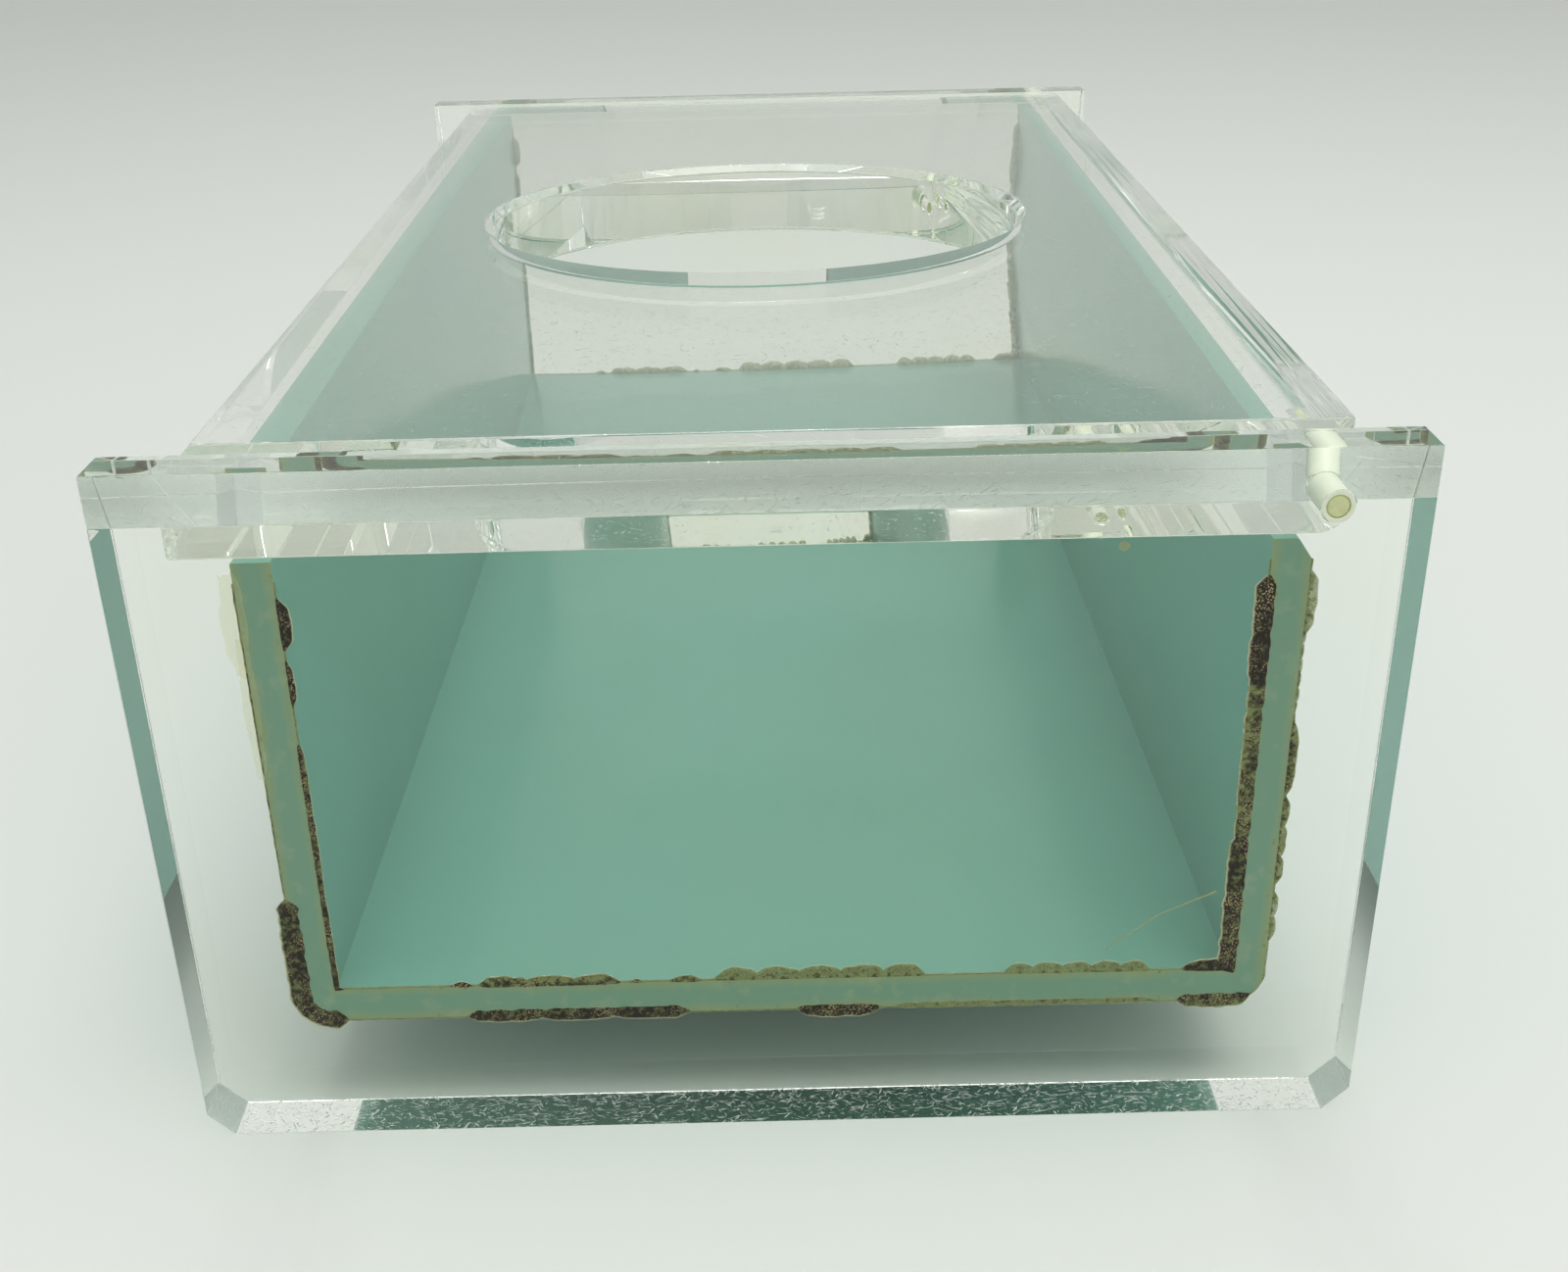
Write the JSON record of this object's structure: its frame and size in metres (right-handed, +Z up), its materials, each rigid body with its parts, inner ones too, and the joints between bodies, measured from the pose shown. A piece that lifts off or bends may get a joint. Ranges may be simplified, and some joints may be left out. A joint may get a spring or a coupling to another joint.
{
  "type": "card dealing shoe",
  "caption": "Low clear box on two standing end plates, with a teal trough hung between them and a thick hinged lid pierced by a large round hole.",
  "frame": {"origin": "centre of the footprint, on the surface that the end plates stand on", "axes": "+X to the right seen from the front end plate, +Y from the front plate to the rear plate, +Z up"},
  "size_m": [0.152, 0.285, 0.091],
  "materials": {
    "plate_acrylic": "polished clear sheet",
    "lid_acrylic": "polished clear sheet",
    "teal_acrylic": "gloss",
    "yellowed_nylon": "satin",
    "cloudy_bushing": "satin",
    "aged_cement": "uneven gloss"
  },
  "bodies": {
    "box": {"front_end_plate": "plate_acrylic", "rear_end_plate": "plate_acrylic", "card_trough": "teal_acrylic", "front_hinge_pin": "yellowed_nylon", "rear_hinge_pin": "yellowed_nylon", "front_pin_bushing": "cloudy_bushing", "rear_pin_bushing": "cloudy_bushing", "front_outer_cement": "aged_cement", "front_inner_cement": "aged_cement", "rear_outer_cement": "aged_cement", "rear_inner_cement": "aged_cement"},
    "lid": {"lid_panel": "lid_acrylic"}
  },
  "joints": [
    {"name": "lid_hinge", "type": "hinge", "parent": "box", "child": "lid", "pos_m": [0.065, 0, 0.0841], "axis": [0, 1, 0], "range_deg": [0, 150]}
  ]
}
